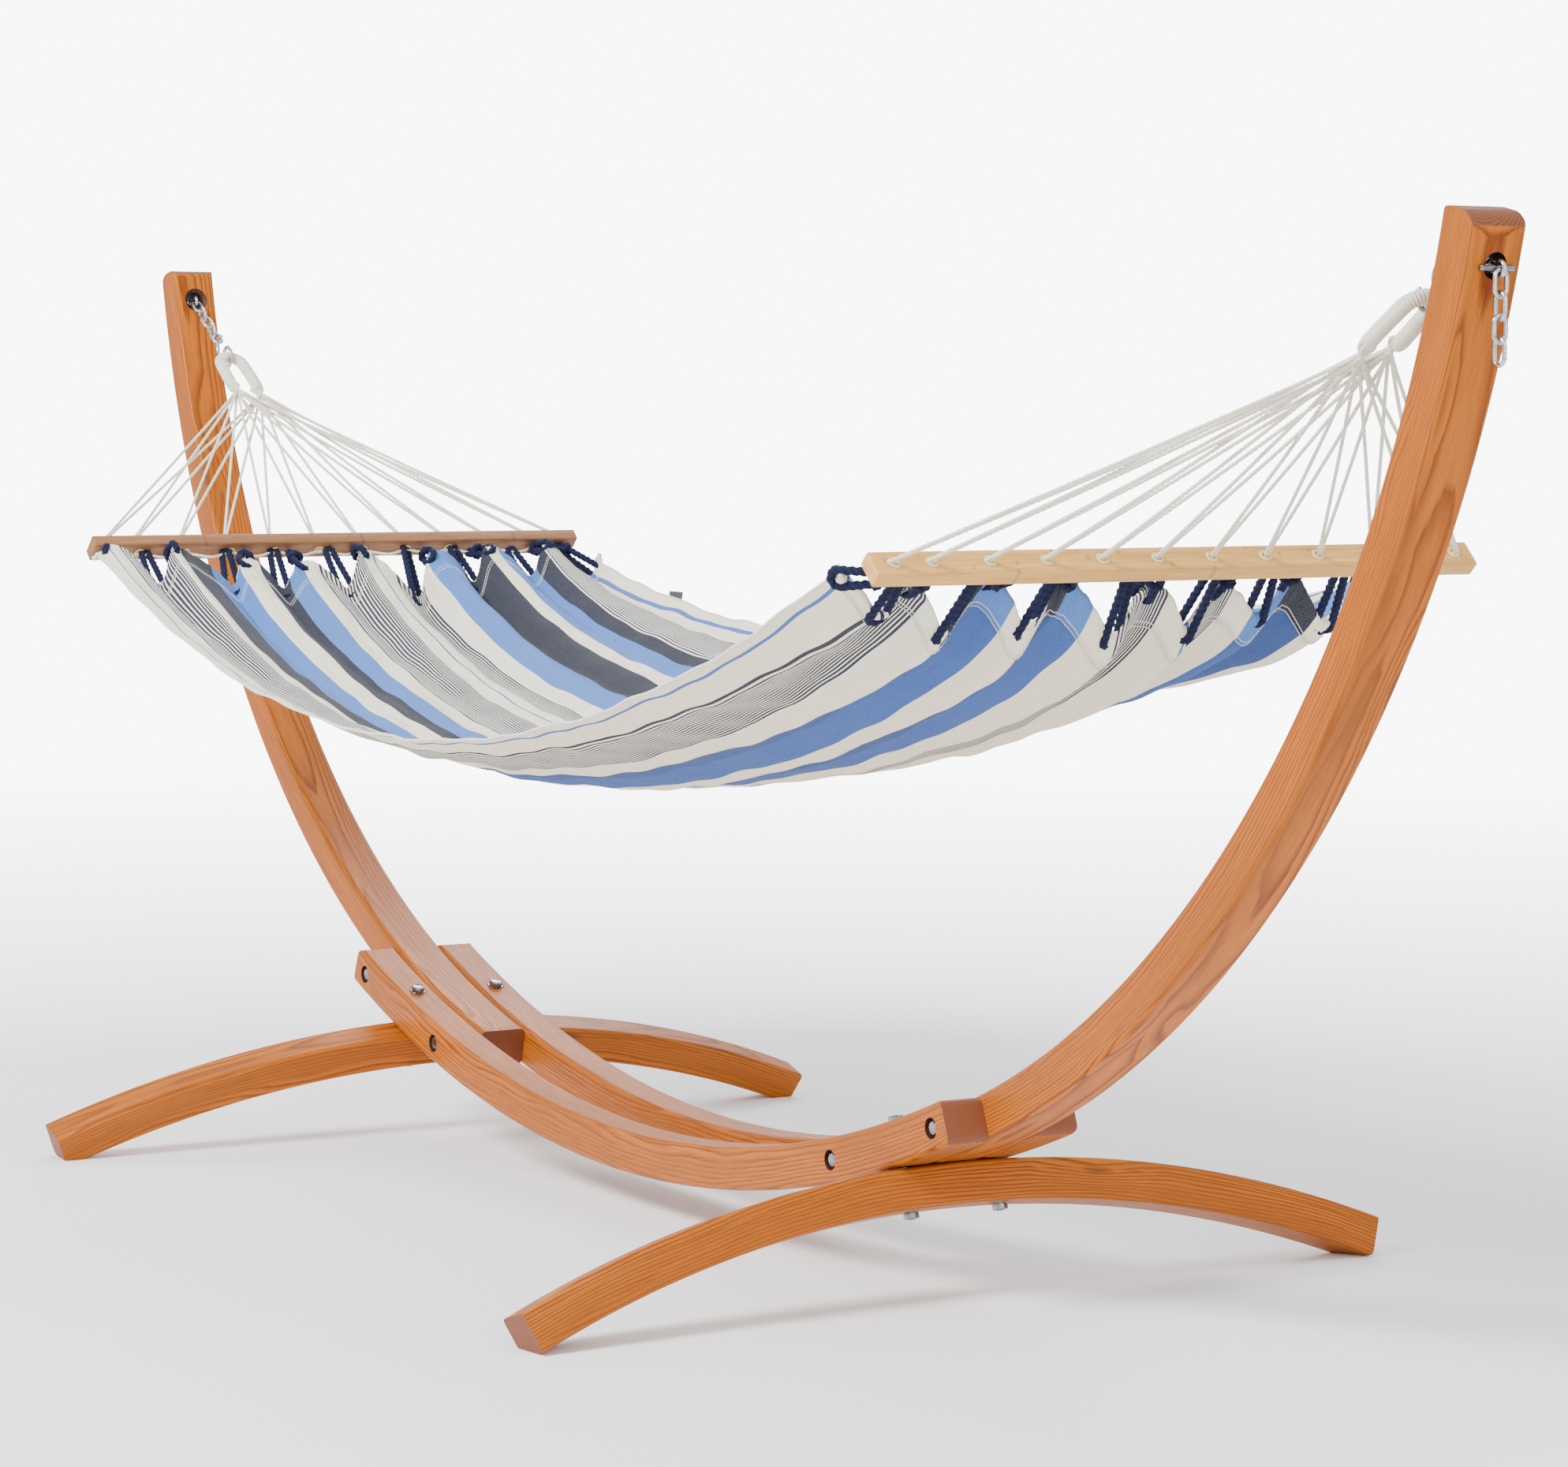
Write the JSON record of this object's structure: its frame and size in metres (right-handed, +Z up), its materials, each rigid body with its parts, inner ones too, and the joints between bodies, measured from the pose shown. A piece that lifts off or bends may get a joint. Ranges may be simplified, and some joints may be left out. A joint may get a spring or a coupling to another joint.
{
  "type": "hammock on stand",
  "caption": "Spreader bar hammock of striped cotton hung by chains and hooks from a free-standing curved wooden stand.",
  "frame": {"origin": "on the floor, under the middle of the stand", "axes": "+X along the hammock to the right arm, -Y the front, +Z up"},
  "size_m": [3.379, 1.2188, 1.2776],
  "materials": {
    "larch": "oiled larch, satin",
    "steel": "bright zinc",
    "rope": "undyed cotton rope",
    "bamboo": "satin bamboo",
    "navy_cord": "twisted cord",
    "striped_cotton": "woven striped cotton",
    "woven_tag": "blank woven label"
  },
  "bodies": {
    "stand": {"arm_left": "larch", "arm_right": "larch", "chain_anchor_left": "steel", "chain_anchor_right": "steel", "cross_left_inner_bolt": "steel", "cross_left_inner_head_washer": "steel", "cross_left_inner_nut": "steel", "cross_left_inner_nut_washer": "steel", "cross_left_outer_bolt": "steel", "cross_left_outer_head_washer": "steel", "cross_left_outer_nut": "steel", "cross_left_outer_nut_washer": "steel", "cross_right_inner_bolt": "steel", "cross_right_inner_head_washer": "steel", "cross_right_inner_nut": "steel", "cross_right_inner_nut_washer": "steel", "cross_right_outer_bolt": "steel", "cross_right_outer_head_washer": "steel", "cross_right_outer_nut": "steel", "cross_right_outer_nut_washer": "steel", "foot_left": "larch", "foot_left_back_bolt": "steel", "foot_left_back_head_washer": "steel", "foot_left_back_nut": "steel", "foot_left_back_nut_washer": "steel", "foot_left_front_bolt": "steel", "foot_left_front_head_washer": "steel", "foot_left_front_nut": "steel", "foot_left_front_nut_washer": "steel", "foot_right": "larch", "foot_right_back_bolt": "steel", "foot_right_back_head_washer": "steel", "foot_right_back_nut": "steel", "foot_right_back_nut_washer": "steel", "foot_right_front_bolt": "steel", "foot_right_front_head_washer": "steel", "foot_right_front_nut": "steel", "foot_right_front_nut_washer": "steel", "side_beam_back": "larch", "side_beam_front": "larch", "stop_pin_left": "steel", "stop_pin_right": "steel"},
    "hangers": {"chain_left": "steel", "chain_right": "steel", "s_hook_left": "steel", "s_hook_right": "steel"},
    "hammock": {"fabric_bed": "striped_cotton", "hem_rope_left": "rope", "hem_rope_right": "rope", "lacing_left": "navy_cord", "lacing_right": "navy_cord", "rope_loop_left": "rope", "rope_loop_right": "rope", "spreader_bar_left": "bamboo", "spreader_bar_right": "bamboo", "suspension_cords_left": "rope", "suspension_cords_right": "rope", "tag": "woven_tag"},
    "tail_left": {"chain_tail_left": "steel"},
    "tail_right": {"chain_tail_right": "steel"}
  },
  "joints": [
    {"name": "hanger_swing", "type": "hinge", "parent": "stand", "child": "hangers", "pos_m": [0, 0, 1.22713], "axis": [1, 0, 0], "range_deg": [-20, 20]},
    {"name": "hammock_roll", "type": "hinge", "parent": "hangers", "child": "hammock", "pos_m": [1.5632, 0, 1.18774], "axis": [0.9999, 0, 0.0168], "range_deg": [-15, 15]},
    {"name": "tail_left_swing", "type": "hinge", "parent": "stand", "child": "tail_left", "pos_m": [-1.67991, 0, 1.2133], "axis": [0, 1, 0], "range_deg": [-3, 70]},
    {"name": "tail_right_swing", "type": "hinge", "parent": "stand", "child": "tail_right", "pos_m": [1.67991, 0, 1.2133], "axis": [0, -1, 0], "range_deg": [-3, 70]}
  ]
}
